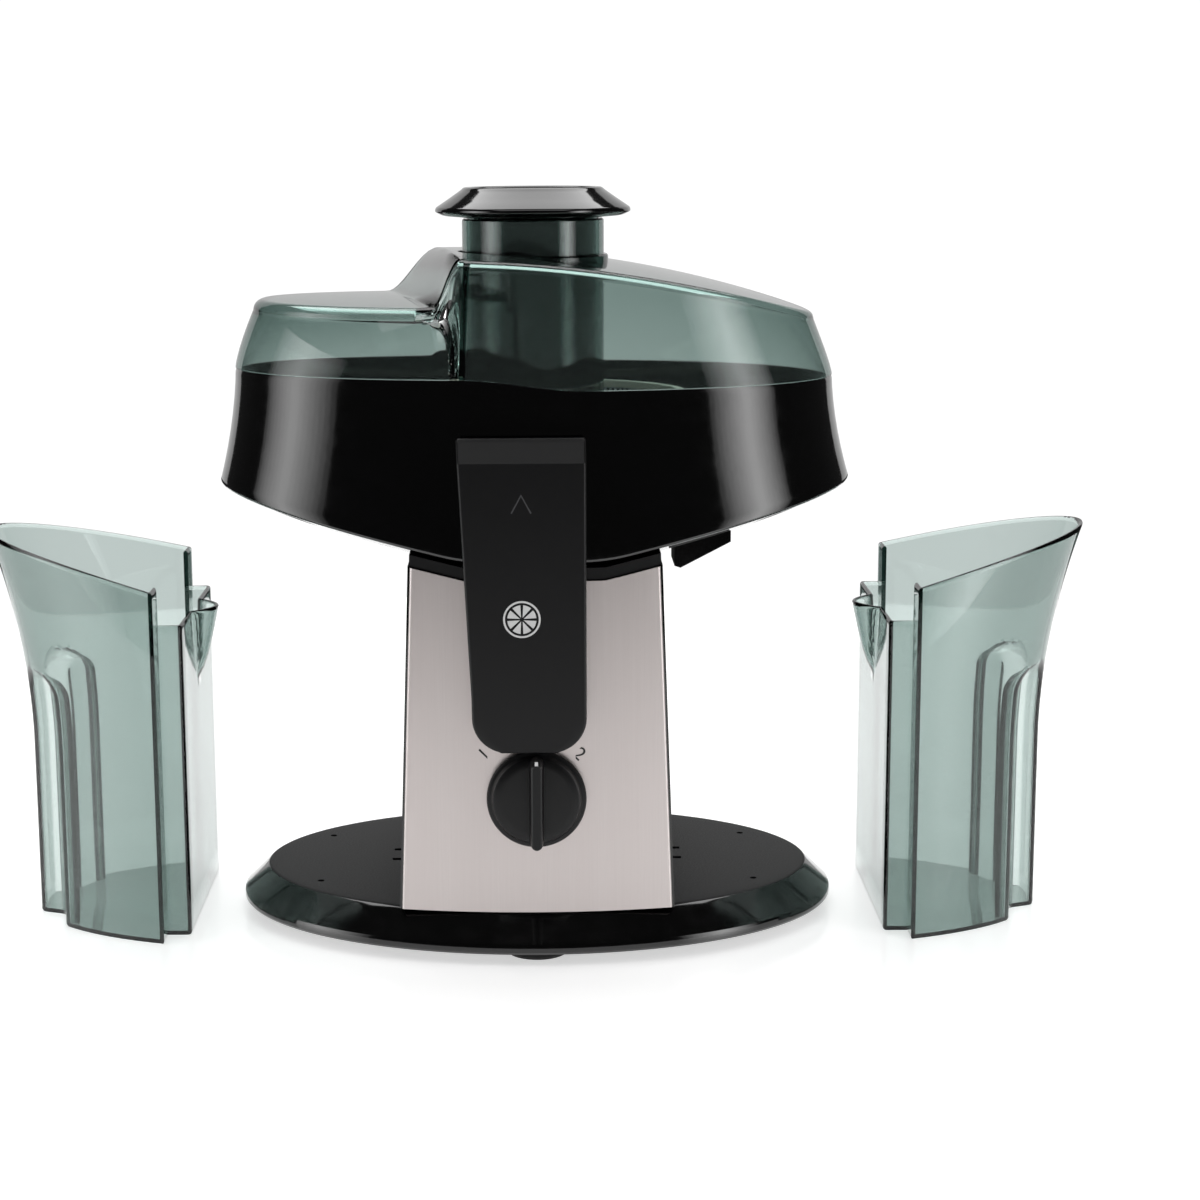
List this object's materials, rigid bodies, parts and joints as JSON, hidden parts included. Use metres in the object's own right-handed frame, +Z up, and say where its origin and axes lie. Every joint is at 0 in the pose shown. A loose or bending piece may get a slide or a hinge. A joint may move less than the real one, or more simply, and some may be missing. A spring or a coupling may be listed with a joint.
{
  "type": "centrifugal juicer",
  "caption": "Electric centrifugal juicer: oval bowl with clear lid, feed chute and pusher on a motor column, front latch and speed dial, with two clear docking containers.",
  "frame": {"origin": "on the table, under the axis of the drive shaft, at the centre of the bottom of the bounding box", "axes": "+X to the right along the longest extent, -Y to the front with the latch and dial, +Z up"},
  "size_m": [0.5724, 0.238, 0.3773],
  "materials": {
    "charcoal_abs": "fine matt texture, moulded",
    "gloss_abs": "polished black",
    "satin_abs": "satin black",
    "brushed_panel": "brushed stainless steel, vertical grain",
    "smoke_clear": "transparent smoke-green",
    "rubber": "matt",
    "bright_steel": "zinc plated",
    "cast_alloy": "die cast",
    "lamination": "stacked electrical steel",
    "copper_wire": "enamelled copper",
    "carbon": "pressed carbon",
    "phenolic": "phenolic",
    "natural_nylon": "natural nylon",
    "basket_steel": "etched stainless mesh",
    "white_print": "printed",
    "dark_print": "printed",
    "red_nylon": "red nylon"
  },
  "bodies": {
    "base": {"base_plate": "charcoal_abs", "bottom_cover": "satin_abs", "rubber_feet": "rubber", "cover_screws": "bright_steel", "column_screws": "bright_steel", "front_housing": "gloss_abs", "rear_housing": "gloss_abs", "left_waist": "gloss_abs", "right_waist": "gloss_abs", "front_panel": "brushed_panel", "dial_marks": "dark_print", "bowl_seat": "satin_abs", "shaft_seal": "rubber", "cord_gland": "satin_abs", "terminal_block": "natural_nylon", "rotary_switch": "natural_nylon", "switch_nut": "bright_steel", "interlock_switch": "red_nylon", "latch_bracket": "cast_alloy", "latch_pin": "bright_steel", "latch_spring": "bright_steel", "lower_bracket": "cast_alloy", "upper_bracket": "cast_alloy", "rubber_dampers": "rubber", "motor_screws": "bright_steel", "motor_stator": "lamination", "field_coils": "copper_wire", "lower_bearing": "bright_steel", "upper_bearing": "bright_steel", "brush_holders": "phenolic", "carbon_brushes": "carbon", "brush_springs": "bright_steel", "bowl": "gloss_abs", "juice_spout": "gloss_abs"},
    "rotor": {"motor_shaft": "bright_steel", "armature_core": "lamination", "armature_windings": "copper_wire", "commutator": "copper_wire", "cooling_fan": "natural_nylon", "drive_coupling": "satin_abs", "basket_hub": "natural_nylon", "basket_floor": "natural_nylon", "filter_basket": "basket_steel", "basket_rim": "natural_nylon", "grater_disc": "basket_steel"},
    "lid": {"lid": "smoke_clear"},
    "pusher": {"pusher": "gloss_abs"},
    "dial": {"dial_knob": "satin_abs", "dial_pointer": "white_print", "switch_spindle": "bright_steel"},
    "latch": {"latch_arm": "satin_abs", "latch_hook": "satin_abs", "latch_emblem": "white_print"},
    "plunger": {"interlock_plunger": "natural_nylon"},
    "left_container": {"left_container": "smoke_clear"},
    "right_container": {"right_container": "smoke_clear"}
  },
  "joints": [
    {"name": "drive_spin", "type": "hinge", "parent": "base", "child": "rotor", "pos_m": [0, 0, 0.2], "axis": [0, 0, 1], "continuous": true},
    {"name": "lid_lift", "type": "slide", "parent": "base", "child": "lid", "axis": [0, 0, 1], "range_m": [0, 0.1]},
    {"name": "pusher_slide", "type": "slide", "parent": "lid", "child": "pusher", "axis": [0, 0, 1], "range_m": [0, 0.14]},
    {"name": "dial_turn", "type": "hinge", "parent": "base", "child": "dial", "pos_m": [0, -0.105, 0.083], "axis": [0, -1, 0], "range_deg": [-45, 45]},
    {"name": "latch_swing", "type": "hinge", "parent": "base", "child": "latch", "pos_m": [-0.0065, -0.1068, 0.1175], "axis": [1, 0, 0], "range_deg": [0, 30]},
    {"name": "plunger_travel", "type": "slide", "parent": "base", "child": "plunger", "axis": [0, -1, 0], "range_m": [0, 0.003]},
    {"name": "left_container_lift", "type": "slide", "parent": "base", "child": "left_container", "axis": [0, 0, 1], "range_m": [0, 0.15]},
    {"name": "right_container_lift", "type": "slide", "parent": "base", "child": "right_container", "axis": [0, 0, 1], "range_m": [0, 0.15]}
  ],
  "couplings": [
    {"joint": "plunger_travel", "follows": "latch_swing", "m_per_rad": 0.0057}
  ]
}
